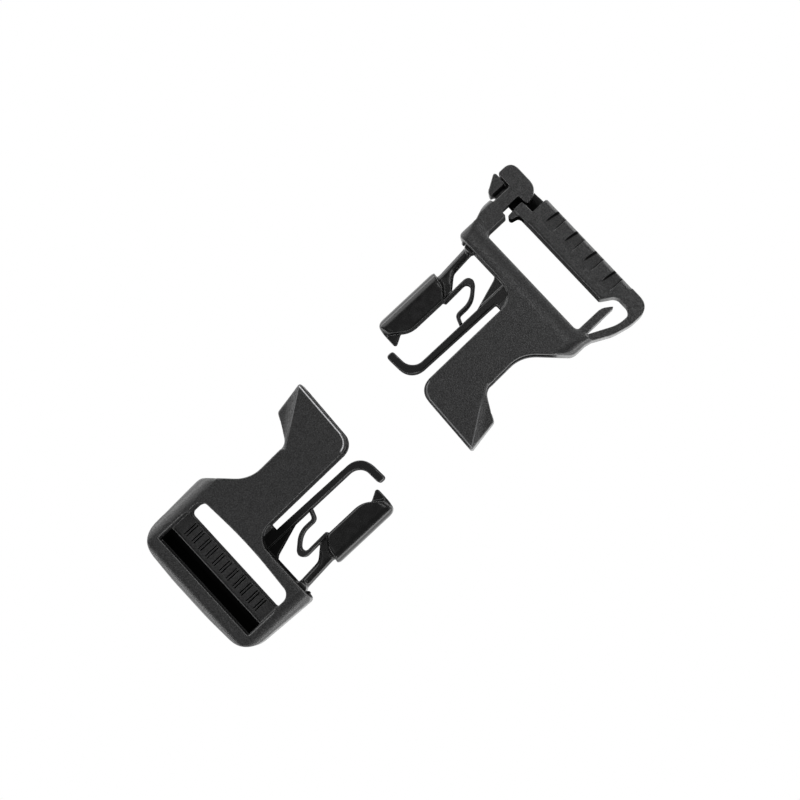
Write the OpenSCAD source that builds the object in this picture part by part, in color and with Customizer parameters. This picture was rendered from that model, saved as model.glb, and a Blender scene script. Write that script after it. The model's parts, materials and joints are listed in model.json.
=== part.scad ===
// Side release buckle in two interlocking halves, shown unfastened.
// Each half has a hollow housing arm on one side and a release prong with a guide rail on the other.
// The ladder half adjusts the webbing, and the split-bar half opens its bar so that sewn webbing slips in.
// Each half is drawn about its own zero: x runs towards the other half from the foot of the gap between
// housing and rail, y is measured from the middle plane towards the housing, and z is up from the surface.

/* [Webbing] */
// Webbing width that both halves take
webbing_w = 25; // [20:1:38]
// Slot length beyond the webbing width
webbing_play = 2; // [1:0.5:4]

/* [Halves] */
// Height of frames and housings
body_h = 8; // [7.5:0.25:10]
// Side arm width at the shoulders
side_w = 3.7; // [3.4:0.1:5]
// Frame length behind the foot of the gap
frame_len = 22.6; // [21.5:0.1:26]
// How far the frame face lies behind the foot of the gap
seat_depth = 4; // [3.6:0.1:5]
// Distance between the zero points of the two halves as they lie
rest_spacing = 65; // [60:1:80]
// Taper of each frame side towards the rear edge
side_taper = 0.9; // [0:0.1:1.5]
// Corner radius at the rear of the ladder frame
rear_corner_r = 5; // [3:0.5:7]
// Rounding along the upper edges of both long sides
edge_r = 3.4; // [1:0.1:3.8]
// Rounding along the upper rear edge of the ladder frame
rear_edge_r = 2.2; // [1:0.1:3]

/* [Housing] */
// Length of the housing arm in front of the foot of the gap
arm_len = 24.4; // [23:0.1:28]
// Thickness of the upper and lower plates
plate_t = 1.2; // [1:0.1:1.6]
// Thickness of the inner wall
inner_wall = 1.2; // [0.8:0.1:1.6]
// Clearance between the two inner walls when fastened
mid_clear = 0.3; // [0.2:0.05:0.6]
// Thickness of the horn beside the mouth
horn_wall = 2.9; // [2.5:0.1:3.4]
// Place where the sloping side meets the cut-out
slope_foot = 3.4; // [2.5:0.1:4.5]
// Place of the horn's locking face at the mouth line
lock_x = 16; // [15:0.1:17]
// Taper of the inner edge towards the mouth
gap_taper = 0.35; // [0:0.05:0.6]
// Slope of the finger scoop on the horn, in degrees
scoop_angle = 22; // [10:1:24]

/* [Guide rail] */
// Width of the rail
rail_w = 1.65; // [1.2:0.05:2]
// Clearance of rail and button inside the housing
rail_clear = 0.3; // [0.2:0.05:0.5]
// Reach of the rail's hooked end
rail_end = 24; // [22.8:0.1:24.2]
// Depth of the hooked end below the rail's outer side
hook_drop = 7.4; // [5:0.1:7.6]

/* [Release prong] */
// Diameter of the prong arm
arm_d = 2.3; // [1.8:0.1:2.6]
// Start of the button
button_x0 = 4.8; // [4.4:0.1:5.4]
// Length of the button
button_len = 16.4; // [14:0.1:16.6]
// Width of the button
button_w = 6; // [5:0.1:6.2]
// How far the button catches behind the horn
catch_w = 1.15; // [0.8:0.05:1.3]
// Running clearance around the prong's root in its seat
root_clear = 0.05; // [0.03:0.01:0.1]
// Thickness of the spring strip
spring_t = 0.8; // [0.6:0.05:1]

/* [Ladder frame] */
// Width of the bar in front of the front slot
front_bar_w = 1.9; // [1.6:0.1:2.6]
// Width of the front slot
front_slot_w = 4.8; // [4.4:0.1:5.6]
// Width of the ribbed bar
ladder_w = 4.6; // [4:0.1:5.2]
// Width of the rear slot seen from above
rear_slot_w = 3.4; // [3:0.1:3.8]
// How far the ribbed bar lies below the frame's top
ladder_drop = 2.6; // [2:0.1:3]
// Thickness of the rear lip
lip_t = 3.4; // [2.6:0.1:3.8]
// Number of rib pairs on the bar
rib_count = 11; // [6:1:13]
// Distance from one rib pair to the next
rib_pitch = 2.1; // [1.8:0.05:2.2]

/* [Split frame] */
// Width of the bar in front of the slot
split_bar_w = 4.3; // [3.6:0.1:5]
// Width of the slot
split_slot_w = 7.8; // [6:0.1:8.2]
// Width of the sprung loop
loop_w = 1.8; // [1.4:0.1:2.4]
// How far the loop stands out beyond the shoulders
loop_out = 3.45; // [3:0.05:5]
// How far the gate's barb stands out beyond the shoulders
barb_out = 4.4; // [3.8:0.1:5.5]
// How far arms, cap and gate lie below the front bar
split_drop = 1.3; // [0.4:0.1:1.6]
// Clearance under the gate
gate_lift = 0.4; // [0.2:0.1:0.8]
// Thickness of the tongue that passes under the catch arm
tongue_t = 2.2; // [1.8:0.1:2.6]
// Number of grip recesses on the gate
grip_count = 4; // [3:1:4]
// Depth of each grip recess
grip_depth = 0.8; // [0.4:0.1:1.2]

/* [Hidden] */
$fn = 48;
arc_steps = 9;
over = 1;

// Widths across the halves
slot_half = (webbing_w + webbing_play) / 2;
half_w = slot_half + side_w;
inner_y = mid_clear / 2;
cavity_y = inner_y + inner_wall;
mouth_y = half_w - horn_wall;
button_out = mouth_y + catch_w;
button_in = button_out - button_w;
cut_y = button_in + rail_clear / 2;

// Heights
mid_z = body_h / 2;
cavity_h = body_h - 2 * plate_t;
rail_h = cavity_h - 2 * rail_clear;
button_h = cavity_h - 2 * rail_clear;
spring_h = rail_h - 1;

// Rail and its hook
rail_y = -(cavity_y + rail_clear);
rail_low = rail_y - rail_w;
hook_w = 1.8;
hook_y = rail_y - hook_drop;

// Housing outline
slope_top = slope_foot - (half_w - cut_y);
horn_lean = 0.5;
shoulder_r = 2.2;
cut_r = 7.5;
horn_foot_r = 2.2;
horn_top = half_w - 1.2;
horn_back = lock_x + (horn_top - mouth_y) * horn_lean;
horn_foot = lock_x - (mouth_y - cut_y) * horn_lean;
front_lean = 0.7;
scoop_dir = 35;
scoop_steep = scoop_angle + 12;
scoop_flat = scoop_angle - 9;
scoop_turn = 1.3;
rim_w = 0.42;
rim_drop = plate_t * 0.42;
rim_r = 3.2;
back_wall_x = -seat_depth + 0.2;
foot_x = -seat_depth - 0.5;
nose_back = -1.8;
wall_end = arm_len - 3.8;

// Release prong
root_r = arm_d / 2 + 0.2;
root_x = -seat_depth - 0.25;
root_y = -(half_w - 3.5);
root_h = button_h - 1;
arm_tip_y = -(button_out - 2.5);
groove_y = -root_y + arm_d / 2 + 0.3;
button_x1 = button_x0 + button_len;
button_r = 2.3;
nose_r = 1.6;
web_top = -button_in - 0.1;

// Spring strip: foot on the rail, a bend, the run back, the tight bend and the run forward to the button
spring_foot_x = 8.3;
spring_foot_y = rail_low + 0.4;
spring_top = rail_low - 2.05;
spring_bottom = -button_in + 0.2;
spring_bend_x = spring_foot_x - 0.9;
spring_turn_x = spring_foot_x - 4.9;
spring_back_x = spring_foot_x - 9.55;
spring_end_x = button_x0 + 2.8;
spring_bend_r = 0.9;
spring_turn_r = 5;
spring_back_r = 1.5;

// Ladder frame, from front to rear
front_slot_x = seat_depth + front_bar_w;
ladder_x = front_slot_x + front_slot_w;
rear_slot_x = ladder_x + ladder_w;
lip_x = rear_slot_x + rear_slot_w;
passage_z = 1.6;
passage_x = rear_slot_x + 1.2;
passage_open_x = lip_x + 1.3;
ladder_top = body_h - ladder_drop;
crown_r = 150;
rear_crown = 0.8;
bay_chamfer = 0.4;
rib_w = 0.36;
rib_line = 0.24;
rib_cut = 0.5;
rib_x = -ladder_x - ladder_w + 0.9;
rib_len = ladder_w - 1.3;

// Split frame, from front to rear
split_slot_x = seat_depth + split_bar_w;
gate_x = split_slot_x + split_slot_w;
loop_root_x = seat_depth + 5.2;
loop_y = half_w + loop_out;
pivot_y = loop_y - 1.5;
loop_end_x = gate_x + 3.1;
loop_end_y = pivot_y - 4;
loop_foot_y = half_w + 0.4;
loop_knee_x = loop_root_x + 4;
loop_turn_x = loop_root_x + 8;
loop_inner_x = loop_root_x + 6.3;
loop_outer_r = 4.6;
loop_inner_r = 2.4;
loop_sweep_r = 8;
split_top = body_h - split_drop;
ridge_x = seat_depth + 1.3;
ridge_mid_x = seat_depth + 2.9;
ridge_mid_z = body_h - split_drop * 0.19;
ridge_turn_x = seat_depth + 4.3;
ridge_turn_z = body_h - split_drop * 0.6;
crease_x = loop_root_x + 0.4;
ridge_r = 8;
crease_r = 2;
gate_top = split_top - 0.1;
finger_low = slot_half + 0.4;
finger_high = finger_low + 1.7;
finger_tip = gate_x + 1.5;
gate_end = -(slot_half - 0.1);
cap_x = gate_x + 2.7;
cap_y = -(slot_half - 1.4);
gate_step_y = cap_y + 1.8;
arm_in = -(slot_half + 1.25);
arm_out = -(half_w + 0.25);
arm_x = gate_x - 2.1;
nose_x = arm_x + 0.15;
arm_low = gate_lift + tongue_t + 0.4;
bulge = 1.2;
barb_in = arm_out - 1.15;
barb_y = -(half_w + barb_out);
barb_x = gate_x - 1.8;
cap_end = -(half_w + barb_out - 0.5);
grip_pitch = (slot_half - 2.2) / 2;
grip_len = 3;
grip_slant = 0.7;
grip_x = gate_x + 2.3;
grip_first = slot_half - 3.9;

// The two halves stand so that the whole lies centred over the origin
middle_y = (barb_y + loop_y) / 2;

// Corner list to outline: each corner is [x, y, radius], and the rounding becomes an arc of short lines
function unit(v) = v / norm(v);
function corner_arc(a, p, b, r, room_a, room_b) =
    let (u = unit(a - p), w = unit(b - p),
         half = acos(max(-1, min(1, u * w))) / 2,
         reach = min(r / tan(half), norm(a - p) * room_a, norm(b - p) * room_b),
         radius = reach * tan(half),
         centre = p + unit(u + w) * radius / sin(half),
         from = p + u * reach - centre,
         to = p + w * reach - centre,
         turn = (from[0] * to[1] - from[1] * to[0] > 0 ? 1 : -1) * (180 - 2 * half))
    [for (i = [0 : arc_steps])
        let (t = turn * i / arc_steps)
        centre + [from[0] * cos(t) - from[1] * sin(t), from[0] * sin(t) + from[1] * cos(t)]];

function corner(p) = [p[0], p[1]];

// Share of an edge that an arc may use: half where the next corner is round too, else nearly all
function room(p) = p[2] > 0 ? 0.49 : 0.98;

function outline(c) =
    let (n = len(c))
    [for (i = [0 : n - 1])
        let (a = c[(i + n - 1) % n], b = c[(i + 1) % n])
        each (c[i][2] > 0
            ? corner_arc(corner(a), corner(c[i]), corner(b), c[i][2], room(a), room(b))
            : [corner(c[i])])];

// Corners of a band of even width along a centre line, whose radii are given at the centre line
function across(v) = [-v[1], v[0]];
function heading(c, i) = unit(corner(c[i + 1]) - corner(c[i]));
function band_side(c, width, side) =
    [for (i = [0 : len(c) - 1])
        let (d0 = heading(c, max(0, i - 1)), d1 = heading(c, min(i, len(c) - 2)),
             normal = unit(across(d0) + across(d1)),
             turn = d0[0] * d1[1] - d0[1] * d1[0] > 0 ? 1 : -1,
             p = corner(c[i]) + normal * side * width / 2 / (normal * across(d0)))
        [p[0], p[1], c[i][2] > 0 ? max(0.05, c[i][2] - side * turn * width / 2) : 0]];
function band(c, width) =
    let (left = band_side(c, width, 1), right = band_side(c, width, -1), n = len(c))
    concat(left, [for (i = [1 : n]) right[n - i]]);

module plate(corners, z0, z1) {
    translate([0, 0, z0]) linear_extrude(z1 - z0) polygon(outline(corners));
}

// Section with rounded edges, drawn across y and z and run along x
module along_x(section, x0, x1) {
    translate([x0, 0, 0]) rotate([90, 0, 90]) linear_extrude(x1 - x0) polygon(outline(section));
}

// Section drawn across x and z and run along y
module along_y(section, y0, y1) {
    translate([0, y1, 0]) rotate([90, 0, 0]) linear_extrude(y1 - y0) polygon(outline(section));
}

module at_ladder() {
    translate([-rest_spacing / 2, middle_y, 0]) children();
}

module at_split() {
    translate([rest_spacing / 2, middle_y, 0]) rotate([0, 0, 180]) children();
}

// Corners of the housing arm, from the shoulder round the horn and mouth to the foot of the gap
housing_corners = [
    [slope_top, half_w, shoulder_r],
    [slope_foot, cut_y, cut_r],
    [horn_foot, cut_y + 0.3, horn_foot_r],
    [horn_back, horn_top, 0.8],
    [arm_len, half_w, 0.4],
    [arm_len - front_lean, inner_y + gap_taper, rim_r],
    [0, inner_y, 0],
    [-seat_depth, inner_y, 4.4]];

// Upper and lower outline of the frame behind the seat
ladder_corners = [
    [-seat_depth, -half_w, 0.8],
    [-(frame_len - rear_crown), -(half_w - side_taper), rear_corner_r],
    [-frame_len, -half_w / 4, crown_r / 4],
    [-frame_len, half_w / 4, crown_r / 4],
    [-(frame_len - rear_crown), half_w - side_taper, rear_corner_r]];

split_corners = [
    [-seat_depth, -half_w, 0.8],
    [-(seat_depth + 5), -half_w, 2],
    [-(seat_depth + 8), -(half_w + bulge), 2],
    [-arm_x, -(half_w + bulge), 0],
    [-arm_x, half_w, 0],
    [-loop_root_x, half_w, 0],
    [-loop_root_x, loop_foot_y, 0],
    [-(seat_depth + 3.6), half_w, 1]];

// Room inside the housing: the back takes the other rail's hook, the side is open between slope and horn
module cavity() {
    clear_y = -hook_y + 0.4;
    plate([[back_wall_x, cavity_y, 0.5], [back_wall_x, clear_y, 0.5], [nose_back, clear_y, 0.3],
           [nose_back, half_w + over, 0], [horn_back + over, half_w + over, 0], [horn_back, horn_top, 0],
           [lock_x, mouth_y, 0], [arm_len - 1.2, mouth_y, 0], [arm_len + over, mouth_y + 1.2, 0],
           [arm_len + over, -over, 0], [wall_end, -over, 0], [wall_end, cavity_y, 0]],
          plate_t, body_h - plate_t);
    // groove in the horn that leaves room for the other prong's arm
    plate([[horn_foot, mouth_y - over, 0], [horn_foot, groove_y, 0], [arm_len + over, groove_y, 0],
           [arm_len + over, mouth_y - over, 0]],
          mid_z - arm_d / 2 - rail_clear, mid_z + arm_d / 2 + rail_clear);
}

// Hollow scoop for the fingertip on the horn's upper and lower faces
module scoop() {
    for (side = [0, 1])
        translate([0, 0, side * body_h]) mirror([0, 0, side])
        translate([horn_foot, cut_y, 0]) rotate([0, 0, scoop_dir])
        along_x([[0, 0, 0], [scoop_turn, scoop_turn * tan(scoop_steep), 4],
                 [12, scoop_turn * tan(scoop_steep) + (12 - scoop_turn) * tan(scoop_flat), 0],
                 [12, -over, 0], [0, -over, 0]], -over, 20);
}

// Set-back of the upper and lower plates along the mouth's edge
module mouth_rim() {
    foot_y = inner_y + gap_taper;
    rim_x = arm_len - front_lean - rim_r + 0.3;
    for (side = [0, 1])
        translate([0, 0, side * body_h]) mirror([0, 0, side])
        difference() {
            plate([[rim_x, 0, 0], [arm_len + over, 0, 0], [arm_len + over, half_w + over, 0],
                   [rim_x, half_w + over, 0]], -over, rim_drop);
            plate([[rim_x - over, foot_y + rim_w, 0],
                   [arm_len - front_lean - rim_w, foot_y + rim_w, rim_r - rim_w],
                   [arm_len - rim_w, half_w + over * 2, 0], [rim_x - over, half_w + over * 2, 0]],
                  -over * 2, rim_drop + over);
        }
}

// Guide rail with its hooked end, and the web that braces it to the frame
module rail() {
    z0 = mid_z - rail_h / 2;
    z1 = mid_z + rail_h / 2;
    plate([[foot_x, rail_y, 0], [0, rail_y, 0], [rail_end - 0.4, rail_y - gap_taper, 5],
           [rail_end, hook_y, 0.5], [rail_end - hook_w, hook_y, 0.5],
           [rail_end - hook_w - 0.3, rail_low, 3.4], [foot_x, rail_low, 0]], z0, z1);
    plate([[foot_x, rail_low + 0.5, 0], [4.5, rail_low + 0.5, 0], [3.8, rail_low, 0],
           [-3.2, rail_low - 2.3, 1], [-seat_depth, rail_low - 3, 0.5], [foot_x, rail_low - 3, 0]],
          z0 + 0.6, z1 - 0.6);
    plate([[foot_x, inner_y + 0.5, 0], [0, inner_y + 0.5, 0], [0, rail_y - 0.5, 0],
           [foot_x, rail_y - 0.5, 0]], z0, z1);
}

// Nib that stops the prong from swinging outwards
module stop_nib() {
    translate([-seat_depth - 0.4, root_y - root_r - 0.9, mid_z - 1]) cube([0.9, 0.8, 2]);
}

// Round seat that the prong's root turns in
module root_seat() {
    translate([root_x, root_y, mid_z - root_h / 2 - rail_clear])
        cylinder(r = root_r + root_clear, h = root_h + 2 * rail_clear);
    translate([root_x, root_y - root_r - 0.3, mid_z - root_h / 2 - rail_clear])
        cube([over * 2, 2 * root_r + 0.6, root_h + 2 * rail_clear]);
}

// Rounded section that trims the long sides of a half, with the reach beyond each shoulder;
// the horn stays nearly square so that its scoop starts at full height
module side_section(prong_reach, housing_reach) {
    low = -half_w - prong_reach;
    high = half_w + housing_reach;
    along_x([[low, body_h, edge_r], [low, 0, edge_r / 2], [high, 0, edge_r / 2], [high, body_h, edge_r]],
            -frame_len - over, horn_foot - 1);
    along_x([[low, body_h, 0], [low, 0, 0], [high, 0, 0.6], [high, body_h, 0.6]],
            horn_foot - 1 - over, arm_len + over);
}

// Side section of a half seen from the side, rounded over at the rear
module rear_section() {
    along_y([[-frame_len, 0, rear_edge_r / 2], [arm_len + over, 0, 0], [arm_len + over, body_h, 0],
             [-frame_len, body_h, rear_edge_r]], -half_w - over, half_w + over);
}

// Side view of the split frame: the top rolls down behind the front bar
module split_section() {
    along_y([[-frame_len, 0, 0], [arm_len + over, 0, 0], [arm_len + over, body_h, 0],
             [-ridge_x, body_h, ridge_r], [-ridge_mid_x, ridge_mid_z, ridge_r],
             [-ridge_turn_x, ridge_turn_z, ridge_r], [-crease_x, split_top, crease_r],
             [-frame_len, split_top, 0]],
            -half_w - bulge - over, half_w + over);
}

module ladder_frame_body() {
    intersection() {
        difference() {
            plate(concat(housing_corners, ladder_corners), 0, body_h);
            cavity();
            scoop();
            mouth_rim();
            root_seat();
            // slot in front of the ribbed bar, its front edge crowned towards the middle
            plate([[-ladder_x, -slot_half, 1], [-front_slot_x - 0.9, -slot_half, 3],
                   [-front_slot_x, 0, crown_r], [-front_slot_x - 0.9, slot_half, 3],
                   [-ladder_x, slot_half, 1]], -over, body_h + over);
            // open top between the side arms, and the passage under the rear lip
            along_y([[-ladder_x - over / 2, body_h + over, 0], [-ladder_x + over, ladder_top, 0],
                     [-rear_slot_x, ladder_top, 0.4], [-passage_x, passage_z, 0.3],
                     [-frame_len - over, passage_z, 0], [-frame_len - over, body_h - lip_t, 0],
                     [-lip_x, body_h - lip_t, 0.6], [-lip_x, body_h + over, 0]], -slot_half, slot_half);
            along_y([[-frame_len - over, -over, 0], [-frame_len - over, passage_z + over / 2, 0],
                     [-passage_open_x, passage_z + over / 2, 0], [-passage_open_x, -over, 0]],
                    -slot_half, slot_half);
            ribs();
            for (side = [-1, 1])
                along_x([[side * (slot_half - 0.1), body_h - 0.8, 0],
                         [side * (slot_half + bay_chamfer), body_h, 0],
                         [side * (slot_half + bay_chamfer), body_h + over, 0],
                         [side * (slot_half - 0.1), body_h + over, 0]],
                        -lip_x, -ladder_x - 0.6);
        }
        side_section(0, 0);
        rear_section();
    }
    rail();
    stop_nib();
}

// Paired grooves across the bar, each pair with a rib left between its grooves
module ribs() {
    for (i = [0 : rib_count - 1], side = [-1, 1]) {
        line_y = (i - (rib_count - 1) / 2) * rib_pitch + side * (rib_w + rib_line) / 2;
        translate([rib_x, line_y - rib_line / 2, ladder_top - rib_cut]) cube([rib_len, rib_line, rib_cut + over]);
    }
}

module ladder_frame() {
    color([0.06, 0.06, 0.06]) at_ladder() ladder_frame_body();
}

// Prong arm, round root and finger button, moulded in one
module prong_body() {
    arm_v = [button_x0 + 1 - root_x, arm_tip_y - root_y];
    web_x = button_x0 - 3;
    b0 = mid_z - button_h / 2;
    b1 = mid_z + button_h / 2;
    translate([root_x, root_y, mid_z - root_h / 2]) cylinder(r = root_r, h = root_h);
    translate([root_x, root_y, mid_z]) rotate([0, 0, atan2(arm_v[1], arm_v[0])]) rotate([0, 90, 0])
        cylinder(d = arm_d, h = norm(arm_v));
    // web that spreads the arm into the button
    plate([[web_x, arm_tip_y + 0.6, 0], [button_x0 + 0.3, web_top, 0.3],
           [button_x0 + 2.6, web_top, 0], [button_x0 + 2.6, arm_tip_y, 0], [web_x, arm_tip_y, 0]],
          mid_z - arm_d / 2, mid_z + arm_d / 2);
    intersection() {
        plate([[button_x0 + 0.5, -button_in - 2.6, 1.2], [button_x0 + 2.6, -button_in, 1.6],
               [button_x0 + 12, -button_in, 6], [button_x1 - 1.5, -button_in - 2.2, 3],
               [button_x1, -button_in - 3.2, 1], [button_x1 - 0.3, -button_out, 2.4],
               [button_x0, -button_out, 0.3]], b0, b1);
        along_x([[-button_in, b0, 0.6], [-button_in, b1, 0.6], [-button_out, b1, button_r],
                 [-button_out, b0, button_r]], 0, button_x1 + over);
        along_y([[0, b0, 0], [button_x1, b0, nose_r], [button_x1, b1, nose_r], [0, b1, 0]],
                -button_out - over, -button_in + over);
    }
    // tooth at the nose
    plate([[button_x1 - 3, -button_in - 1.4, 0], [button_x1 - 0.5, -button_in, 0.3],
           [button_x1, -button_in - 0.2, 0.2], [button_x1, -button_in - 3.6, 0],
           [button_x1 - 2, -button_in - 3.6, 0]], mid_z - 1.2, mid_z + 1.2);
}

module ladder_prong() {
    color([0.04, 0.04, 0.04]) at_ladder() prong_body();
}

// Centre line of the spring strip
spring_route = [
    [spring_foot_x, spring_foot_y, 0],
    [spring_bend_x, spring_top, spring_bend_r],
    [spring_turn_x, spring_top, spring_turn_r],
    [spring_back_x, spring_bottom - 0.3, spring_back_r],
    [spring_end_x, spring_bottom, 0]];

module spring_body() {
    difference() {
        plate(band(spring_route, spring_t), mid_z - spring_h / 2, mid_z + spring_h / 2);
        plate([[-seat_depth, rail_low, 0], [rail_end, rail_low, 0], [rail_end, 0, 0], [-seat_depth, 0, 0]],
              -over, body_h + over);
        prong_body();
    }
}

module ladder_spring() {
    color([0.08, 0.08, 0.08]) at_ladder() spring_body();
}

module split_frame_body() {
    difference() {
        intersection() {
            plate(concat(housing_corners, split_corners), 0, body_h);
            side_section(bulge, loop_foot_y - half_w);
            split_section();
        }
        cavity();
        scoop();
        mouth_rim();
        root_seat();
        // slot in front of the gate
        plate([[-gate_x - over * 5, -slot_half, 0], [-split_slot_x, -slot_half, 1.2],
               [-split_slot_x, slot_half + 0.6, 1.2], [-gate_x - over * 5, slot_half + 0.6, 0]],
              -over, body_h + over);
        // gap between the guard finger and the sprung loop
        plate([[-arm_x - over, finger_high, 0], [-loop_root_x, finger_high, 0],
               [-loop_root_x, half_w + over, 0], [-arm_x - over, half_w + over, 0]], -over, body_h + over);
    }
    // guard finger across the loop's mouth
    plate([[-loop_root_x + over, finger_low, 0], [-loop_root_x + over, finger_high, 0],
           [-finger_tip, finger_high, 0.2], [-(finger_tip - 2.4), finger_low, 3]], split_drop, split_top);
    // catch arm and the cap that covers the tongue
    plate([[-arm_x + over, arm_in, 0], [-cap_x, arm_in, 0.4], [-cap_x, cap_y, 0.6],
           [-frame_len, cap_y - 1.2, 3], [-frame_len, cap_end, 3.2], [-cap_x, cap_end, 0.4],
           [-cap_x, arm_out, 0.4], [-arm_x + over, arm_out, 0]], arm_low, split_top);
    rail();
    stop_nib();
}

module split_frame() {
    color([0.06, 0.06, 0.06]) at_split() split_frame_body();
}

// Gate that closes the slot from behind, with its tongue and barb
module gate_body() {
    difference() {
        along_y([[-gate_x, gate_lift, 0.4], [-gate_x, gate_top, 0.6], [-frame_len, gate_top, 1.2],
                 [-frame_len, gate_lift, 0.6]], gate_step_y, loop_end_y);
        // corner cut away for the guard finger
        plate([[-gate_x + over, slot_half - 1.1, 0], [-gate_x, slot_half - 1.1, 0],
               [-loop_end_x, slot_half + 0.9, 2], [-loop_end_x, pivot_y, 0], [-gate_x + over, pivot_y, 0]],
              -over, body_h + over);
        grips();
    }
    // narrower step in front of the cap, and its nose towards the slot's corner
    plate([[-gate_x, gate_step_y + over, 0], [-cap_x + 0.3, gate_step_y + over, 0],
           [-cap_x + 0.3, gate_end, 0.3], [-gate_x, gate_end, 0]], gate_lift, gate_top);
    plate([[-gate_x - over, gate_end + 2.6, 0], [-gate_x, gate_end + 2.6, 0],
           [-gate_x + 0.2, gate_end + 1.6, 0.8], [-nose_x, gate_end + 1.2, 0.4],
           [-nose_x, gate_end + 0.2, 0.3], [-gate_x - over, gate_end, 0]], gate_lift, gate_top - 0.3);
    // tongue under the catch arm, and the barb that stands up outside it
    plate([[-gate_x, gate_step_y + over, 0], [-gate_x, arm_out + 1.2, 0], [-gate_x + 0.9, arm_out + 0.3, 0],
           [-gate_x + 0.9, barb_y + 1, 0.5], [-frame_len + 1.2, barb_y + 1, 1.5],
           [-frame_len + 0.4, gate_step_y + over, 0]], gate_lift, gate_lift + tongue_t);
    plate([[-barb_x, barb_in, 0.3], [-barb_x - 0.3, barb_in - 1, 0.8], [-cap_x + 0.9, barb_y, 0.5],
           [-cap_x + 0.3, barb_y, 0.3], [-cap_x + 0.3, barb_in, 0]], gate_lift, gate_top);
}

// Recesses for the fingertip, each deepest at the rear edge, with a slanted wall towards the barb
module grips() {
    for (i = [0 : grip_count - 1]) {
        y0 = grip_first - i * grip_pitch;
        y1 = y0 + grip_len;
        intersection() {
            along_y([[-frame_len, gate_top - grip_depth, 0], [-grip_x, gate_top, 0],
                     [-grip_x, gate_top + over, 0], [-frame_len - over, gate_top + over, 0],
                     [-frame_len - over, gate_top - grip_depth, 0]], y0, y1);
            plate([[-grip_x, y0, 0], [-grip_x, y1, 0], [-frame_len - over, y1, 0],
                   [-frame_len - over, y0 + grip_slant, 0]], 0, body_h + over);
        }
    }
}

module split_gate() {
    color([0.07, 0.07, 0.07]) at_split() gate_body();
}

// Bend that the gate springs on, from the frame's corner round to the gate's end
module loop_body() {
    plate([[-loop_root_x, loop_foot_y, 0], [-loop_knee_x, loop_y - 1, loop_sweep_r],
           [-loop_turn_x, loop_y, loop_sweep_r], [-frame_len, loop_y, loop_outer_r],
           [-frame_len, loop_end_y, 0], [-loop_end_x, loop_end_y, 0],
           [-loop_end_x, loop_y - loop_w, loop_inner_r], [-loop_inner_x, loop_y - loop_w, loop_sweep_r],
           [-loop_root_x, finger_high + 0.2, 0]], gate_lift, gate_top);
}

module split_loop() {
    color([0.07, 0.07, 0.07]) at_split() loop_body();
}

module split_prong() {
    color([0.04, 0.04, 0.04]) at_split() prong_body();
}

module split_spring() {
    color([0.08, 0.08, 0.08]) at_split() spring_body();
}

ladder_frame();
ladder_prong();
ladder_spring();
split_frame();
split_gate();
split_loop();
split_prong();
split_spring();
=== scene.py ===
# %% [markdown]
# # Side release buckle
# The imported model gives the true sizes. This script softens the edges of its solids, adds the
# small relief that the moulding has, gives each surface its finish, and lights and frames the scene.
# All lengths are in metres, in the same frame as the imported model.

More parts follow.
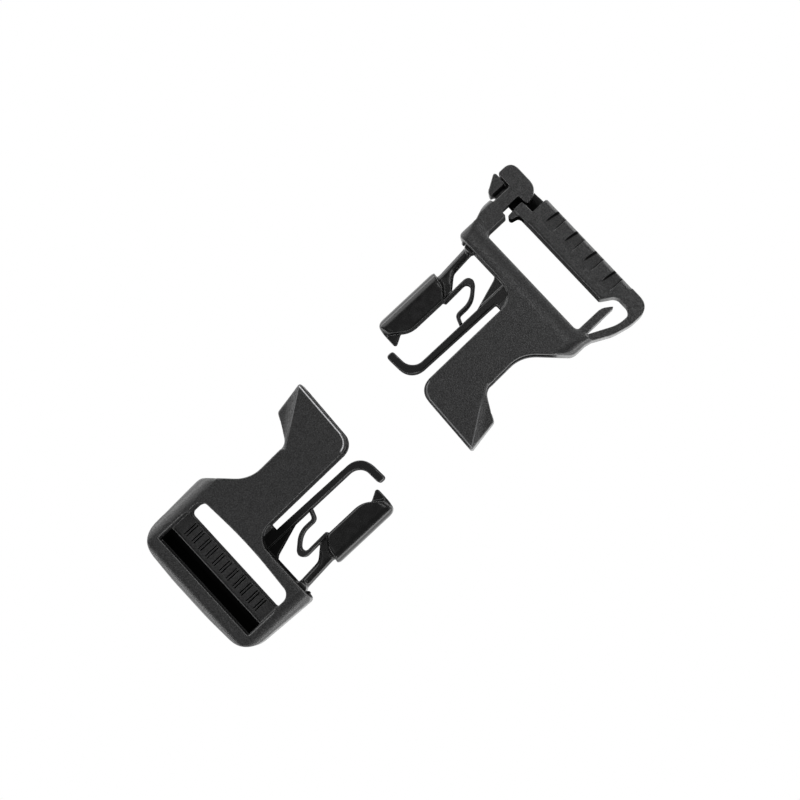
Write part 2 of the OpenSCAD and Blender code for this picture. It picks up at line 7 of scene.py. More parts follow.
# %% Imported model
import json
import math
import bmesh
import bpy
import numpy as np
from mathutils import Matrix, Vector
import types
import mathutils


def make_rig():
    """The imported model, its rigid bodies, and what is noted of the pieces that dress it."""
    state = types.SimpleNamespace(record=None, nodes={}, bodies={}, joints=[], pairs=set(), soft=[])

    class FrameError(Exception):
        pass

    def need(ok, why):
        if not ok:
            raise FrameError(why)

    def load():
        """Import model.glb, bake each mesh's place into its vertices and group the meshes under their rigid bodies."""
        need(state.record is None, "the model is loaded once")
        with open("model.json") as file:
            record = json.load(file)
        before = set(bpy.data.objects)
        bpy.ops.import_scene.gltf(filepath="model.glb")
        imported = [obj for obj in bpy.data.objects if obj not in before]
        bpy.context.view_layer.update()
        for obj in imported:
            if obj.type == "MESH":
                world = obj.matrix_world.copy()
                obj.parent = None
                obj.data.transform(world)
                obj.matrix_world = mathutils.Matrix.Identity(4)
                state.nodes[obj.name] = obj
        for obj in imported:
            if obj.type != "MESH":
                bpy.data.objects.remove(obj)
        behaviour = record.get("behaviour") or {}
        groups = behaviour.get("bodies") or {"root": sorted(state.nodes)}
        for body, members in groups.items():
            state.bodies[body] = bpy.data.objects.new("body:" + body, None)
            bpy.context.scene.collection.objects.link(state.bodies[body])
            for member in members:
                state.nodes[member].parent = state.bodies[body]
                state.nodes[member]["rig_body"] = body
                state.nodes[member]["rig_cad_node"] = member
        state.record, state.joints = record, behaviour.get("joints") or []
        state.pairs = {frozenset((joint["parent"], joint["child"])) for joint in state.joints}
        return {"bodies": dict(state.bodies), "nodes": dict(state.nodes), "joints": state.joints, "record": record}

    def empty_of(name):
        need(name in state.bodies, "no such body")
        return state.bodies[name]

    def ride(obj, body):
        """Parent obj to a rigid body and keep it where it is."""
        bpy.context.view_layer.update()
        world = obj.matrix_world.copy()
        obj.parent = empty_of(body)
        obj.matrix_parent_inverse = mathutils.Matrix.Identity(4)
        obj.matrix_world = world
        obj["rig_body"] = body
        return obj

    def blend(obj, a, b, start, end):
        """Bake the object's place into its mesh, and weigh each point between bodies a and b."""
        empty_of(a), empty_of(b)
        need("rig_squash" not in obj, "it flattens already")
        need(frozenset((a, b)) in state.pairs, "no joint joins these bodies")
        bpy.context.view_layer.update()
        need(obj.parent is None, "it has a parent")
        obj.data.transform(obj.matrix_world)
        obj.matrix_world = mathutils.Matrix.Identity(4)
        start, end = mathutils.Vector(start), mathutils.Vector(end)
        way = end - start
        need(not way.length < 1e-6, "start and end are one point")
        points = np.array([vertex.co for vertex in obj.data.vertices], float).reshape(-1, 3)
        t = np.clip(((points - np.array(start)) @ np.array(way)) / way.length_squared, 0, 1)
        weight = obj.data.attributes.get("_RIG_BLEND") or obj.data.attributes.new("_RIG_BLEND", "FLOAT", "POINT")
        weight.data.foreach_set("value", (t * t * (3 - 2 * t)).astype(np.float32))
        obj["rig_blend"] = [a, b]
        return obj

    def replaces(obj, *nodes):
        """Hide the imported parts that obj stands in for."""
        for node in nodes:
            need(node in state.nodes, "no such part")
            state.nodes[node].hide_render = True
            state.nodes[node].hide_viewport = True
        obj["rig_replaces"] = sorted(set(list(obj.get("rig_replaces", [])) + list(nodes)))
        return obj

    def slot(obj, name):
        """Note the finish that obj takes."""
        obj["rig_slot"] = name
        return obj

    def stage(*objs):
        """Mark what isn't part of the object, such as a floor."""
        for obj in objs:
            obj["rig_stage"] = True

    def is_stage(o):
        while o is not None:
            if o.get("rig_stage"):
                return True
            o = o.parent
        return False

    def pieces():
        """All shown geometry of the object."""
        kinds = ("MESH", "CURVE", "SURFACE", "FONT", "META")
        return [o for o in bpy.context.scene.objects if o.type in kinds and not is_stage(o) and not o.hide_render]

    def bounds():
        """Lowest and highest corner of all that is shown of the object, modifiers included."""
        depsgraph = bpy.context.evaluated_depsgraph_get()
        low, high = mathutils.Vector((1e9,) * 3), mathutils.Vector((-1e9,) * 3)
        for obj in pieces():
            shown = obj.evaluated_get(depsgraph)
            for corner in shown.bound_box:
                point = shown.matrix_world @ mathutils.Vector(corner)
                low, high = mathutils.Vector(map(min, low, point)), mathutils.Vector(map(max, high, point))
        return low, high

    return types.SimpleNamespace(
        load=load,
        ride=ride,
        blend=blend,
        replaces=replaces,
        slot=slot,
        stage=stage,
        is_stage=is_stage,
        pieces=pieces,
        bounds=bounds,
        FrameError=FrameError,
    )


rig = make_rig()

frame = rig.load()
cad_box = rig.bounds()
nodes = frame["nodes"]
MM = 0.001
print("nodes:", sorted(nodes))
print("box in mm:", [[round(c / MM, 2) for c in corner] for corner in cad_box])

# %% [markdown]
# ## The two halves
# Each half is drawn about its own zero point, at the foot of the gap between housing and rail. The two are
# alike there, but turned by half a turn. `at_ladder` and `at_split` turn such a local point, in
# millimetres, into a point of the scene. With `TURN` and `ZERO` it goes the other way: a place of the scene
# times `TURN`, in millimetres, plus `ZERO` is the local point.

# %% Local points
SPACING = 65.0
SHIFT_Y = -0.475
ZERO = {"ladder": (SPACING / 2, -SHIFT_Y, 0), "split": (SPACING / 2, SHIFT_Y, 0)}
TURN = {"ladder": (1, 1, 1), "split": (-1, -1, 1)}


def at_ladder(x, y, z):
    return Vector(((x - SPACING / 2) * MM, (SHIFT_Y + y) * MM, z * MM))


def at_split(x, y, z):
    return Vector(((SPACING / 2 - x) * MM, (SHIFT_Y - y) * MM, z * MM))


def new_object(name, data):
    """An object in the scene for new data."""
    made = bpy.data.objects.new(name, data)
    bpy.context.scene.collection.objects.link(made)
    return made


print("gap feet:", at_ladder(0, 0, 0), at_split(0, 0, 0))

# %% [markdown]
# ## Camera
# The photograph looks nearly straight down from about half a metre, a little from the -Y side.
# The fastening direction runs up to the right, 43 degrees from the picture's horizontal.

# %% Camera
CAMERA_AT = Vector((0.0033, -0.0452, 0.5))
CAMERA_AIM = Vector((0.00457, 0.00028, 0.004))
PICTURE_ANGLE = math.radians(43.14)
FOCAL_PX = 2406.9
PICTURE_PX = 800
SENSOR_MM = 36

camera_data = bpy.data.cameras.new("camera")
camera_data.sensor_width = SENSOR_MM
camera_data.lens = SENSOR_MM * FOCAL_PX / PICTURE_PX
camera_data.clip_start, camera_data.clip_end = 0.01, 10
camera = new_object("camera", camera_data)
bpy.context.scene.camera = camera
back = (CAMERA_AT - CAMERA_AIM).normalized()
right = Vector((math.cos(PICTURE_ANGLE), -math.sin(PICTURE_ANGLE), 0))
up = back.cross(right).normalized()
right = up.cross(back)
camera.matrix_world = Matrix.Translation(CAMERA_AT) @ Matrix((right, up, back)).transposed().to_4x4()
tilt = math.degrees(math.acos(back.z))
print("focal length:", round(camera_data.lens, 1), "mm, tilt:", round(tilt, 2), "degrees")

# %% [markdown]
# ## Node trees in Python
# A small wrapper class lets a material be written as arithmetic on sockets.

# %% Socket wrapper


class Socket:
    """One output in a node tree, with arithmetic that adds Math nodes."""

    def __init__(self, tree, out):
        self.tree, self.out = tree, out

    def node(self, kind, inputs=None, out=0, **settings):
        """Adds any node, with sockets or constants on its inputs, and returns one of its outputs."""
        made = self.tree.nodes.new(kind)
        for name, value in settings.items():
            setattr(made, name, value)
        for key, value in (inputs or {}).items():
            if isinstance(value, Socket):
                self.tree.links.new(value.out, made.inputs[key])
            else:
                made.inputs[key].default_value = value
        return Socket(self.tree, made.outputs[out])

    def math(self, operation, a, b=0.0):
        return self.node("ShaderNodeMath", {0: a, 1: b}, operation=operation)

    def __add__(self, other):
        return self.math("ADD", self, other)

    def __sub__(self, other):
        return self.math("SUBTRACT", self, other)

    def __rsub__(self, other):
        return self.math("SUBTRACT", other, self)

    def __mul__(self, other):
        return self.math("MULTIPLY", self, other)

    def most(self, other):
        """The higher of the two, which joins two masks."""
        return self.math("MAXIMUM", self, other)

    def ramp(self, low, high, to_low=0.0, to_high=1.0):
        """Maps low..high smoothly to to_low..to_high, and holds the ends."""
        return self.node("ShaderNodeMapRange", {0: self, 1: low, 2: high, 3: to_low, 4: to_high},
                         interpolation_type="SMOOTHSTEP")

    def mix(self, colour_a, colour_b):
        """Mixes two colours by this socket."""
        return self.node("ShaderNodeMix", {0: self, 6: colour_a, 7: colour_b}, out=2, data_type="RGBA")


# %% [markdown]
# ## Finishes
# The buckle is moulded in one black plastic. The frames and the gate carry the fine grain of a
# spark-eroded mould, and the rails, the prongs and the finger buttons come from polished parts of it.
# So every finish is a nearly black base, and what the eye reads is the reflection of the white
# surroundings: grain blurs and mottles it, polish keeps it darker and sharper. The sharpest outer edges
# get thin lines painted paler, a painted highlight, steep or sunken walls are painted black, a painted
# shade, and sparse pale specks are painted glints.
#
# Patterns are written in millimetres from each half's own zero point, so that a mask such as
# "the rail" can be stated with the same numbers as the part has. A mask is a product of ramps, which is
# simpler to read and to change than painted weights, and it stays exact at any mesh density.

# %% Materials
# Cell size of the sparse pale specks, painted glints in the base colour.
GLINT_CELL_MM = 2.4
GRAIN_MM = 0.26
GRAIN_DEPTH_MM = 0.034
BLOTCH_MM = 1.6
FLOW_MM = 1.3
FLOW_DEPTH_MM = 0.002
GRAINED_ROUGH, RAIL_ROUGH = 0.34, 0.24
# The last grey is a painted highlight, painted along sharp edges.
GRAIN_DARK, GRAIN_LIGHT, RAIL_GREY, EDGE_HIGHLIGHT_GREY = 0.0, 0.036, 0.006, 0.5


def start(name):
    """A new material with one Principled shader; returns material, shader and object coordinates."""
    material = bpy.data.materials.new(name)
    material.use_nodes = True
    tree = material.node_tree
    coords = tree.nodes.new("ShaderNodeTexCoord")
    return material, tree.nodes["Principled BSDF"], Socket(tree, coords.outputs["Object"])


def drive(shader, name, socket):
    socket.tree.links.new(socket.out, shader.inputs[name])


def grey(value):
    return (value, value, value * 1.02, 1)


def local_mm(where, half):
    """Object coordinates turned into a half's own millimetres: the vector and its three parts."""
    scale = [sign / MM for sign in TURN[half]]
    place = where.node("ShaderNodeVectorMath", {0: where, 1: scale, 2: ZERO[half]}, operation="MULTIPLY_ADD")
    parts = [place.node("ShaderNodeSeparateXYZ", {0: place}, out=i) for i in range(3)]
    return place, parts


def noise(place, size_mm, roughness=0.5):
    return place.node("ShaderNodeTexNoise", {"Vector": place, "Scale": 1 / size_mm, "Detail": 2,
                                             "Roughness": roughness})


def bump(height):
    """A normal from a height in metres."""
    return height.node("ShaderNodeBump", {"Strength": 1.0, "Distance": 1.0, "Height": height})


def between(socket, low, high, soft=0.15):
    """1 between low and high, fading to 0 over soft."""
    return socket.ramp(low - soft, low) * socket.ramp(high, high + soft, 1, 0)


def add_painted_glints(place, colour):
    """Sparse pale specks painted into the base colour: painted glints where the grain would sparkle."""
    cells = {"Vector": place, "Scale": 1 / GLINT_CELL_MM, "Randomness": 1.0}
    distance = place.node("ShaderNodeTexVoronoi", cells)
    chance = place.node("ShaderNodeTexVoronoi", cells, out=1)
    pick = place.node("ShaderNodeSeparateColor", {0: chance}, out=0).ramp(0.90, 0.99)
    speck = distance.ramp(0.03, 0.055, 1, 0) * pick
    return (speck * 0.7).mix(colour, grey(0.22))


def mix_in(material, shader, mask, other):
    """Shows the other shader where the mask is 1."""
    tree = material.node_tree
    both = mask.node("ShaderNodeMixShader", {0: mask, 1: Socket(tree, shader.outputs[0]), 2: other})
    tree.links.new(both.out, tree.nodes["Material Output"].inputs["Surface"])


def paint_shade_black(material, shader, mask):
    """Painted shade: mixes the shader with plain black by the mask, so that a recess looks dark."""
    mix_in(material, shader, mask, mask.node("ShaderNodeBsdfDiffuse", {"Color": (0.0015, 0.0015, 0.0015, 1)}))


def moulded(name, half, polished=None, painted_dark=None, edges=None):
    """Grained black plastic; three optional functions build masks from the local x, y and z: a polished finish,
    painted shade mixed with black, and painted highlights along edges.
    """
    material, shader, where = start(name)
    place, parts = local_mm(where, half)
    fine = noise(place, GRAIN_MM, 0.65)
    broad = noise(place, BLOTCH_MM)
    mottle = (fine * 0.9 + broad * 0.1).ramp(0.32, 0.7)
    colour = mottle.mix(grey(GRAIN_DARK), grey(GRAIN_LIGHT))
    shine = mottle.ramp(0, 1, GRAINED_ROUGH + 0.06, GRAINED_ROUGH - 0.06)
    height = fine * (GRAIN_DEPTH_MM * MM)
    if polished:
        smooth = polished(*parts)
        colour = smooth.mix(colour, grey(RAIL_GREY))
        shine = smooth * (RAIL_ROUGH - shine) + shine
        height = height * (1 - smooth)
    if edges:
        # Painted highlight: pale lines mixed into the base colour along sharp edges.
        colour = edges(*parts).mix(colour, grey(EDGE_HIGHLIGHT_GREY))
    # The base colour also gets sparse pale specks, painted glints.
    drive(shader, "Base Color", add_painted_glints(place, colour))
    drive(shader, "Roughness", shine)
    drive(shader, "Normal", bump(height))
    # Painted shade: the recesses that the mask picks are mixed with plain black.
    if painted_dark:
        paint_shade_black(material, shader, painted_dark(*parts))
    return material


def polished_black(name, half, rough, base):
    """Smooth black plastic with barely visible flow marks."""
    material, shader, where = start(name)
    place, _ = local_mm(where, half)
    flow = noise(place, FLOW_MM)
    # The base colour also gets sparse pale specks, painted glints.
    drive(shader, "Base Color", add_painted_glints(place, flow.ramp(0.3, 0.7).mix(grey(base), grey(base * 1.4))))
    drive(shader, "Roughness", flow.ramp(0.3, 0.7, rough - 0.02, rough + 0.03))
    drive(shader, "Normal", bump(flow * (FLOW_DEPTH_MM * MM)))
    return material


# Places on the part that the masks below share, in a half's own millimetres
GAP_SIDE_Y, RAIL_TOP = -0.9, 7.2
PASSAGE_X, PASSAGE_Y, PASSAGE_TOP = (-18.8, -15.5), 13.6, 5.1
RIBS_X, RIBS_Y, RIBS_TOP = (-14.5, -11.0), 12.5, 5.32
GRIP_TOP_Y, GRIP_PITCH, GRIP_LEN, GRIP_SLANT, GRIPS = 12.6, 5.65, 3.0, 0.7, 4
GRIP_X, GATE_REAR_X, GATE_TOP = -18.4, -22.6, 6.6
STEP_X, STEP_Y, STEP_TOP = -20.0, (-16.4, -10.5), 6.2
SCOOP_X, SCOOP_Y, SCOOP_TURN = 13.65, 9.6, math.radians(35)
RIM_X, RIM_LEAN, RIM_WIDTH, RIM_END_Y = 23.25, 0.038, 0.15, 16.6
RIM_CENTRE, RIM_R = (20.5, 3.7), 2.78


def below_top(y, z):
    """Beside the gap between housing and rail, and lower than the frame's top."""
    return y.ramp(GAP_SIDE_Y, GAP_SIDE_Y + 0.05, 1, 0) * z.ramp(RAIL_TOP, RAIL_TOP + 0.1, 1, 0)


def rail_zone(x, y, z):
    """The rail, its web and the wall behind them, all lower than the frame's top."""
    return x.ramp(-3.95, -3.9) * below_top(y, z)


def ladder_painted_shade(x, y, z):
    """Painted shade, painted black: the passage behind the ribbed bar, the grooves beside the ribs, and the root of
    the rail's web.
    """
    passage = between(x, *PASSAGE_X, 0.1) * z.ramp(PASSAGE_TOP - 0.9, PASSAGE_TOP, 1, 0) \
        * between(y, -PASSAGE_Y, PASSAGE_Y, 0.05)
    grooves = between(x, *RIBS_X, 0.05) * z.ramp(RIBS_TOP - 0.12, RIBS_TOP, 1, 0) \
        * between(y, -RIBS_Y, RIBS_Y, 0.05)
    web = x.ramp(-4.2, -4.0) * x.ramp(1.0, 9.0, 1, 0) * below_top(y, z) * 0.85
    return passage.most(grooves).most(web)


def painted_edge_highlight(rim, ridge):
    """A mask of painted highlights: thin lines along the mouth's rim and the scoop's ridge, painted paler where the
    edge would catch the light.
    """
    def mask(x, y, z):
        front = between(x - y * RIM_LEAN, RIM_X - RIM_WIDTH, RIM_X, 0.07) \
            * between(y, RIM_CENTRE[1], RIM_END_Y, 0.3)
        out_x, out_y = x - RIM_CENTRE[0], y - RIM_CENTRE[1]
        radius = x.math("POWER", out_x * out_x + out_y * out_y, 0.5)
        corner = between(radius, RIM_R - RIM_WIDTH, RIM_R, 0.07) * y.ramp(3.4, 3.8, 1, 0) * x.ramp(20.6, 21.2)
        across = (y - SCOOP_Y) * math.cos(SCOOP_TURN) - (x - SCOOP_X) * math.sin(SCOOP_TURN)
        line = between(across, -0.05, 0.12, 0.1) * x.ramp(14.0, 18.5)
        return (front.most(corner) * rim).most(line * ridge) * z.ramp(7.0, 7.5)
    return mask


def gate_painted_shade(x, y, z):
    """Painted shade, painted black: the side walls of the grip recesses, and the low step and the tongue under the
    catch arm.
    """
    down = y.math("FLOORED_MODULO", GRIP_TOP_Y - y, GRIP_PITCH)
    slanted = down + (GRIP_X - x) * (GRIP_SLANT / (GRIP_X - GATE_REAR_X))
    upper = down.ramp(0.12, 0.34, 1, 0) * 0.8
    lower = between(slanted, GRIP_LEN - 0.32, GRIP_LEN + 0.1, 0.12) * 0.9
    inside = between(y, GRIP_TOP_Y - (GRIPS - 1) * GRIP_PITCH - GRIP_LEN, GRIP_TOP_Y + 0.1, 0.1)
    walls = upper.most(lower) * inside * z.ramp(GATE_TOP - 0.3, GATE_TOP - 0.08, 1, 0) \
        * x.ramp(GRIP_X - 0.2, GRIP_X, 1, 0)
    step = between(y, *STEP_Y, 0.3) * z.ramp(STEP_TOP - 0.5, STEP_TOP, 1, 0) \
        * x.ramp(GATE_REAR_X, STEP_X, 0.45, 0.95)
    return walls.most(step)


# The last masks paint highlight lines pale along the rims, and paint shade black in recesses.
materials = {
    "ladder_frame": moulded("ladder_black", "ladder", rail_zone, ladder_painted_shade, painted_edge_highlight(0.95, 0.11)),
    "split_frame": moulded("split_black", "split", rail_zone, None, painted_edge_highlight(0.22, 0.15)),
    "gate": moulded("gate_black", "split", None, gate_painted_shade),
}
for half in ("ladder", "split"):
    materials[half + "_button"] = polished_black(half + "_button_black", half, 0.24, 0.002)
    materials[half + "_strip"] = polished_black(half + "_strip_black", half, 0.32, 0.004)
print("materials:", [m.name for m in bpy.data.materials])

# %% [markdown]
# ## Softened mouldings
# A moulding has no knife edges: the tool's corners are rounded by a few tenths of a millimetre, and the
# edges catch the light as thin lines. The solids of one moulding are therefore copied together,
# remeshed on a fine grid, which also melts the joints between them away, and smoothed. Edges are
# smoothed lightly everywhere. Slanted and curved surfaces are then smoothed more, so that the
# flat steps of the solids' roundings disappear, and the broad roundings of the long sides most of all,
# while ribs, grips and the mouth's rim stay crisp.
#
# Remeshing was chosen over a Bevel modifier because the solids' faces meet at many small angles,
# where a bevel leaves folds.

# %% Soft copies
GRID = 0.10 * MM
MERGE = 0.001 * MM
MOST_TRIANGLES = 185000
FEWEST_FACES = 100
EDGE_PASSES = 12
BUTTON_EDGE_PASSES = 20
CRISP_PASSES = 3
SURFACE_PASSES = 45
ROUND_PASSES = 160
UPRIGHT = 0.995


def evaluated(piece):
    """Replaces a piece's mesh by the outcome of its modifiers."""
    bpy.context.view_layer.update()
    made = bpy.data.meshes.new_from_object(piece.evaluated_get(bpy.context.evaluated_depsgraph_get()))
    piece.modifiers.clear()
    piece.data = made


def smooth_by(piece, mask, passes):
    """Smooths the vertices of a piece that a true or false mask picks."""
    group = piece.vertex_groups.new(name="smoothed")
    group.add(np.nonzero(mask)[0].tolist(), 1.0, "REPLACE")
    smooth = piece.modifiers.new("smooth", "SMOOTH")
    smooth.factor = 0.5
    smooth.iterations = passes
    smooth.vertex_group = group.name
    evaluated(piece)
    piece.vertex_groups.clear()


def to_local(places, half):
    """Places of the scene, one per row, in a half's own millimetres."""
    return places * np.array(TURN[half]) / MM + np.array(ZERO[half])


def read(values, name):
    """A three-part property of a mesh's vertices or normals, one row each."""
    flat = np.empty(len(values) * 3, dtype=np.float32)
    values.foreach_get(name, flat)
    return flat.reshape(-1, 3)


def vertices_mm(mesh, half):
    return to_local(read(mesh.vertices, "co"), half)


def softened(names, half, crisp=None, round_zone=None, edge_passes=EDGE_PASSES):
    """One remeshed and smoothed copy of several CAD nodes of a half.

    crisp masks the vertices to spare, and round_zone those to round off much more."""
    shape = bmesh.new()
    for name in names:
        shape.from_mesh(nodes[name].data)
    bmesh.ops.remove_doubles(shape, verts=shape.verts, dist=MERGE)
    mesh = bpy.data.meshes.new("_".join(names))
    shape.to_mesh(mesh)
    shape.free()
    piece = new_object("copy", mesh)
    remesh = piece.modifiers.new("remesh", "REMESH")
    remesh.mode = "VOXEL"
    remesh.voxel_size = GRID
    evaluated(piece)
    place = vertices_mm(piece.data, half)
    spared = crisp(*place.T) if crisp else np.zeros(len(place), bool)
    smooth_by(piece, ~spared, edge_passes)
    if spared.any():
        smooth_by(piece, spared, CRISP_PASSES)
    slanted = np.abs(read(piece.data.vertex_normals, "vector")).max(axis=1) < UPRIGHT
    smooth_by(piece, slanted & ~spared, SURFACE_PASSES)
    if round_zone:
        smooth_by(piece, round_zone(*vertices_mm(piece.data, half).T), ROUND_PASSES)
    triangles = 2 * len(piece.data.polygons)
    if triangles > MOST_TRIANGLES:
        thin = piece.modifiers.new("thin", "DECIMATE")
        thin.ratio = MOST_TRIANGLES / triangles
        evaluated(piece)
    for face in piece.data.polygons:
        face.use_smooth = True
    return piece


def score(piece, half, cuts):
    """Divides a piece's faces along planes, each given as its axis and its place in local mm.

    The piece stays whole. Pieces that are then taken along these planes have straight edges."""
    shape = bmesh.new()
    shape.from_mesh(piece.data)
    for axis, place in cuts:
        point, normal = np.zeros(3), np.zeros(3)
        point[axis] = (place - ZERO[half][axis]) * TURN[half][axis] * MM
        normal[axis] = 1
        everything = list(shape.verts) + list(shape.edges) + list(shape.faces)
        bmesh.ops.bisect_plane(shape, geom=everything, dist=MERGE, plane_co=point, plane_no=normal)
    shape.to_mesh(piece.data)
    shape.free()


def crumbs(shape):
    """The faces of all tiny islands, which a cut leaves where it grazes the surface."""
    found, seen = [], set()
    for first in shape.faces:
        if first in seen:
            continue
        island, waiting = {first}, [first]
        while waiting:
            for edge in waiting.pop().edges:
                for face in edge.link_faces:
                    if face not in island:
                        island.add(face)
                        waiting.append(face)
        seen |= island
        if len(island) < FEWEST_FACES:
            found.extend(island)
    return found


def take(source, name, half, chosen):
    """A new piece from the faces of source that chosen picks, by their centres in local mm.

    The cut is closed with a cap whose edges are sharp, so that the two sides of a cut
    shade alike and no dark seam shows."""
    shape = bmesh.new()
    shape.from_mesh(source.data)
    faces = list(shape.faces)
    centres = np.array([face.calc_center_median()[:] for face in faces])
    keep = chosen(*to_local(centres, half).T)
    bmesh.ops.delete(shape, geom=[face for face, kept in zip(faces, keep) if not kept], context="FACES")
    bmesh.ops.delete(shape, geom=crumbs(shape), context="FACES")
    rim = [edge for edge in shape.edges if edge.is_boundary]
    caps = bmesh.ops.holes_fill(shape, edges=rim, sides=0)["faces"]
    for edge in rim:
        edge.smooth = False
    for cap in caps:
        cap.smooth = False
    mesh = bpy.data.meshes.new(name)
    shape.to_mesh(mesh)
    shape.free()
    return new_object(name, mesh)


def finish_piece(piece, name, material, slot, node):
    """Names and dresses a piece, and lets it stand for its CAD node.

    Normals weighted by area keep the broad faces flat up to their softened edges."""
    piece.name = name
    piece.data.materials.clear()
    piece.data.materials.append(materials[material])
    flat = piece.modifiers.new("flat_faces", "WEIGHTED_NORMAL")
    flat.keep_sharp = True
    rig.slot(piece, slot)
    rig.replaces(piece, node)
    print(name, len(piece.data.polygons), "faces")
    return piece


# %% [markdown]
# ## Ladder frame
# The ribbed bar grips the webbing: eleven pairs of fine grooves with a rib between them. The grooves
# are only a quarter of a millimetre wide, so the bar's top is spared from the smoothing. So is the rim of
# the housing's mouth, where the plate stands back by less than half a millimetre.

# %% Ladder frame
MIDDLE_Z, CAVITY_HALF = 4, 3


def mouth_rim(x, y, z):
    """The stepped rim of the mouth's two plates: a straight front and a round corner."""
    centre_x, centre_y = RIM_CENTRE
    front = (y >= centre_y) & (y < 16.2) & (x > 22.7)
    corner = (y < centre_y) & (x > 20.3) & (np.hypot(x - centre_x, y - centre_y) > 2.2)
    return (front | corner) & (np.abs(z - MIDDLE_Z) > CAVITY_HALF)


def ladder_crisp(x, y, z):
    """The ribs and the mouth's rim."""
    ribs = (x > RIBS_X[0] - 0.1) & (x < RIBS_X[1] + 0.1) & (np.abs(y) < RIBS_Y - 0.1) & (z > 4.7)
    return ribs | mouth_rim(x, y, z)


def outer_roundings(x, y, z):
    """The rounded long sides of a frame, and the edge of its front bar beside the prong's bay."""
    side = (np.abs(y) > 14.4) & (z > 4.2) & (np.abs(x + 3) < 12)
    return side | ((x > -5.2) & (x < -3.2) & (y < -5) & (z > 6))


ladder_frame = finish_piece(softened(["ladder_frame"], "ladder", ladder_crisp, outer_roundings),
                            "ladder_frame_body", "ladder_frame", "frame_grained", "ladder_frame")

# %% [markdown]
# ## Split frame, gate and loop
# On the real buckle these are one moulding: the gate hangs on a sprung loop. They are softened together
# so that no seam shows, then taken apart again: the gate swings, and the loop bends between
# frame and gate. The whole is scored along the planes of the cuts first, so that their edges are
# straight. Edges that follow the mesh's own triangles leave dark specks at the seam when the gate moves.

# %% Split frame
LOOP_FOOT_X = -9.2
LOOP_END_X, LOOP_END_Y = -19.0, 15.15
FINGER_SIDE_Y = 15.7
ON_GATE = (-19, 0, 6.6)


def split_crisp(x, y, z):
    """The grip recesses and the mouth's rim."""
    grips = (x < GRIP_X - 0.2) & (x > GATE_REAR_X + 0.3) & (np.abs(y) < 13.0) & (z > 5.5)
    return grips | mouth_rim(x, y, z)


def is_loop(x, y, z):
    """The loop outside the guard finger, up to where it meets the gate."""
    return ((x < LOOP_FOOT_X) & (y > FINGER_SIDE_Y)) | ((x < LOOP_END_X) & (y > LOOP_END_Y))


def split_roundings(x, y, z):
    """As for the ladder frame, but the catch arm, the finger and the loop keep their edges."""
    return outer_roundings(x, y, z) & (x > -8.4)


split_whole = softened(["split_frame", "split_gate", "split_loop"], "split", split_crisp, split_roundings)
score(split_whole, "split", [(0, LOOP_FOOT_X), (0, LOOP_END_X), (1, FINGER_SIDE_Y), (1, LOOP_END_Y)])
loop = take(split_whole, "split_loop_bend", "split", is_loop)
rest = take(split_whole, "split_rest", "split", lambda x, y, z: ~is_loop(x, y, z))


def islands(mesh):
    """For each vertex the lowest vertex number that it is joined to."""
    flat = np.empty(len(mesh.edges) * 2, dtype=np.int64)
    mesh.edges.foreach_get("vertices", flat)
    a, b = flat.reshape(-1, 2).T
    label = np.arange(len(mesh.vertices))
    while True:
        before = label.copy()
        lowest = np.minimum(label[a], label[b])
        np.minimum.at(label, a, lowest)
        np.minimum.at(label, b, lowest)
        label = label[label]
        if (label == before).all():
            return label


def island_near(piece, half, point):
    """Mask of the vertices joined to the one nearest to a local point."""
    label = islands(piece.data)
    place = vertices_mm(piece.data, half)
    return label == label[np.argmin(((place - np.array(point)) ** 2).sum(axis=1))]


def keep_vertices(piece, mask):
    """Deletes every vertex outside the mask."""
    shape = bmesh.new()
    shape.from_mesh(piece.data)
    bmesh.ops.delete(shape, geom=[v for v, kept in zip(list(shape.verts), mask) if not kept], context="VERTS")
    shape.to_mesh(piece.data)
    shape.free()


gate = new_object("gate", rest.data.copy())
gate_mask = island_near(rest, "split", ON_GATE)
keep_vertices(gate, gate_mask)
keep_vertices(rest, ~gate_mask)
bpy.data.objects.remove(split_whole)
split_frame = finish_piece(rest, "split_frame_body", "split_frame", "frame_grained", "split_frame")
gate = finish_piece(gate, "split_gate_body", "gate", "frame_grained", "split_gate")
loop = finish_piece(loop, "split_loop_bend", "gate", "frame_grained", "split_loop")

# %% [markdown]
# ## Prongs and springs
# A button is a smooth pad that the fingertip presses, on an arm that flexes. A thin strip runs from
# its inner corner in an S to the rail and pushes it back out. Button and strip are softened together and
# taken apart where they join, because the strip bends while the button only turns.

# %% Prongs and springs
STRIP_SIDE_Y, STRIP_END_X = -9.62, 7.3
RAIL_SIDE_Y = -6.6


def arm_and_pad_edge(x, y, z):
    """The flexing arm, a round rod, and the outer edge of the button, which rolls over softly."""
    return ((x > -3.3) & (x < 4.6) & (y < -11)) | ((x > 4.9) & (y < -11.8))


def is_strip(x, y, z):
    """The strip up to the button's inner corner, with its bend and foot by the rail."""
    return (y > STRIP_SIDE_Y) & ((x < STRIP_END_X) | (y > RAIL_SIDE_Y))


prongs, strips = {}, {}
for half in ("ladder", "split"):
    whole = softened([half + "_prong", half + "_spring"], half, round_zone=arm_and_pad_edge,
                     edge_passes=BUTTON_EDGE_PASSES)
    score(whole, half, [(0, STRIP_END_X), (1, STRIP_SIDE_Y)])
    strip = take(whole, half + "_spring_strip", half, is_strip)
    prong = take(whole, half + "_prong_body", half, lambda x, y, z: ~is_strip(x, y, z))
    bpy.data.objects.remove(whole)
    strips[half] = finish_piece(strip, half + "_spring_strip", half + "_strip",
                                "strip_satin", half + "_spring")
    prongs[half] = finish_piece(prong, half + "_prong_body", half + "_button",
                                "button_gloss", half + "_prong")

# %% [markdown]
# ## Motion
# Rigid copies ride on their bodies. The spring strips and the sprung loop bend between two bodies: a
# point before the first place follows the first body, and one beyond the second place follows the second.

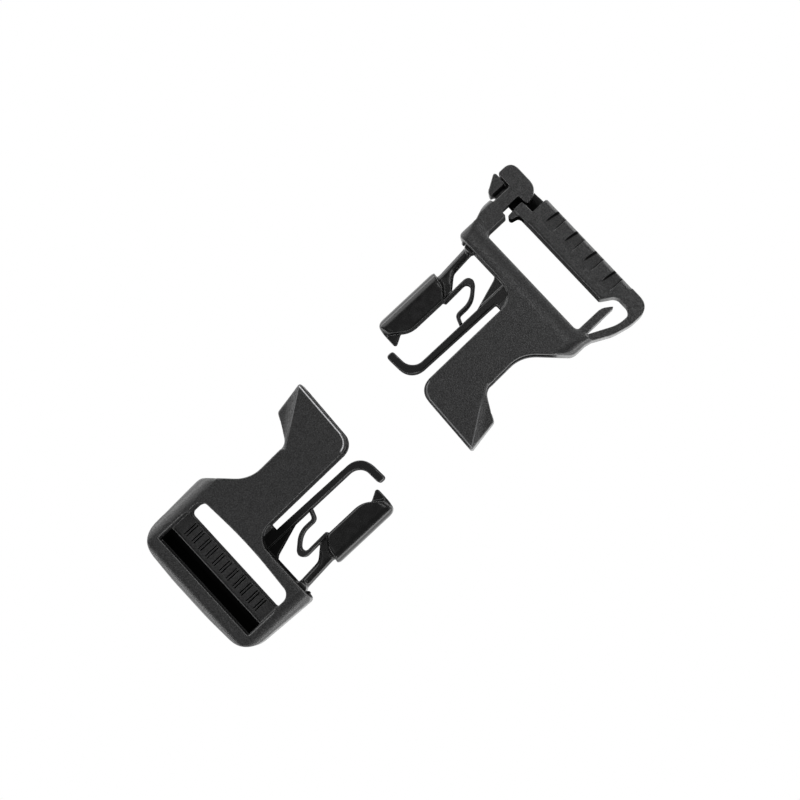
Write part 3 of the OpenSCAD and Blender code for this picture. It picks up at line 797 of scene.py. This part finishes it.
# %% Motion
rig.ride(ladder_frame, "ladder_half")
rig.ride(split_frame, "split_half")
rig.ride(gate, "split_gate")
for half, at in (("ladder", at_ladder), ("split", at_split)):
    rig.ride(prongs[half], half + "_prong")
    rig.blend(strips[half], half + "_half", half + "_prong", at(4, -4.6, 4), at(4, -9.0, 4))
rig.blend(loop, "split_half", "split_gate", at_split(-11.5, 20, 4), at_split(-18, 19, 4))

# %% [markdown]
# ## Floor and light
# The photograph has the plain white ground of a light tent. The black plastic mirrors the tent, so the
# tent's parts were placed by what the surfaces show: a narrow light just beside the zenith gives the flat
# faces their grey and the ridge its brighter line, bright low walls all round light the outer edges,
# and the dark band between them keeps the slanted faces dark. Seen directly, the floor is plain white. In
# the plastic's reflections it glows white outside the buckle and is painted dark below it, a painted shadow
# for the shade of the slots' own walls, so that those walls stay dark. It lies low enough for the gate to
# swing down clear of it.

# %% Floor and lights
FLOOR_Z = -18 * MM
FLOOR_HALF = 2
FLOOR_GLOW = 0.9
SHADED_X, SHADED_Y = (50 * MM, 58 * MM), (13 * MM, 22 * MM)
WORLD_GREY = 0.16
BLACK, WHITE = (0, 0, 0, 1), (1, 1, 1, 1)

floor_mesh = bpy.data.meshes.new("floor")
corners = [(x * FLOOR_HALF, y * FLOOR_HALF, 0) for x, y in ((-1, -1), (1, -1), (1, 1), (-1, 1))]
floor_mesh.from_pydata(corners, [], [(0, 1, 2, 3)])
floor = new_object("floor", floor_mesh)
floor.location.z = FLOOR_Z
white, white_shader, white_coords = start("floor_white")
white_shader.inputs["Roughness"].default_value = 1.0
white_shader.inputs["Emission Strength"].default_value = FLOOR_GLOW
out_x, out_y = [white_coords.node("ShaderNodeSeparateXYZ", {0: white_coords}, out=i) for i in range(2)]
out_x = out_x.math("ABSOLUTE", out_x)
out_y = out_y.math("ABSOLUTE", out_y)
beyond = out_x.ramp(*SHADED_X).most(out_y.ramp(*SHADED_Y))
# Painted shadow: below the buckle the floor's colour is dark and its glow is off.
drive(white_shader, "Base Color", beyond.mix((0.08, 0.08, 0.08, 1), (0.8, 0.8, 0.8, 1)))
drive(white_shader, "Emission Color", beyond.mix(BLACK, WHITE))
seen = white_coords.node("ShaderNodeLightPath", out=0)
glow = white_coords.node("ShaderNodeEmission", {"Color": WHITE, "Strength": 1.0})
mix_in(white, white_shader, seen, glow)
floor_mesh.materials.append(white)
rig.stage(floor)

LIGHTS = {
    # name: (degrees round from +X, degrees above the horizon, distance, width, height, radiance)
    "overhead": (0, 73, 1.0, 0.5, 0.11, 5.2),
    "overhead_left": (180, 76, 1.0, 0.5, 0.11, 1.2),
    "wall_right": (0, 8, 1.2, 1.8, 0.36, 5.0),
    "wall_left": (180, 8, 1.2, 1.8, 0.36, 5.0),
    "wall_back": (90, 8, 1.2, 1.8, 0.36, 5.0),
    "wall_front": (-90, 8, 1.2, 1.8, 0.36, 5.0),
    "panel_back": (90, 36, 1.1, 1.2, 0.6, 2.0),
    "side_right": (5, 30, 1.0, 0.4, 0.1, 7.0),
    "side_left": (175, 30, 1.0, 0.4, 0.1, 8.0),
    "side_front_right": (-48, 36, 1.0, 0.3, 0.12, 4.0),
    "side_front_left": (-125, 36, 1.0, 0.3, 0.12, 8.0),
}
for name, (turn, lift, distance, width, height, radiance) in LIGHTS.items():
    turn, lift = math.radians(turn), math.radians(lift)
    place = distance * Vector((math.cos(turn) * math.cos(lift), math.sin(turn) * math.cos(lift),
                               math.sin(lift)))
    data = bpy.data.lights.new(name, "AREA")
    data.shape = "RECTANGLE"
    data.size, data.size_y = width, height
    data.energy = radiance * math.pi * width * height
    light = new_object(name, data)
    light.location = place
    light.rotation_euler = place.to_track_quat("Z", "Y").to_euler()
world = bpy.data.worlds.new("tent")
world.use_nodes = True
background = world.node_tree.nodes["Background"]
background.inputs["Color"].default_value = WHITE
background.inputs["Strength"].default_value = WORLD_GREY
bpy.context.scene.world = world
bpy.context.scene.view_settings.view_transform = "Standard"

# %% [markdown]
# ## Sizes
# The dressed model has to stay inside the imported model's box, so both boxes are written down.

# %% Finish
visual_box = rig.bounds()
json.dump({"cad": [list(c) for c in cad_box], "visual": [list(c) for c in visual_box]}, open("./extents.json", "w"))
print("visual box in mm:", [[round(c / MM, 2) for c in corner] for corner in visual_box])
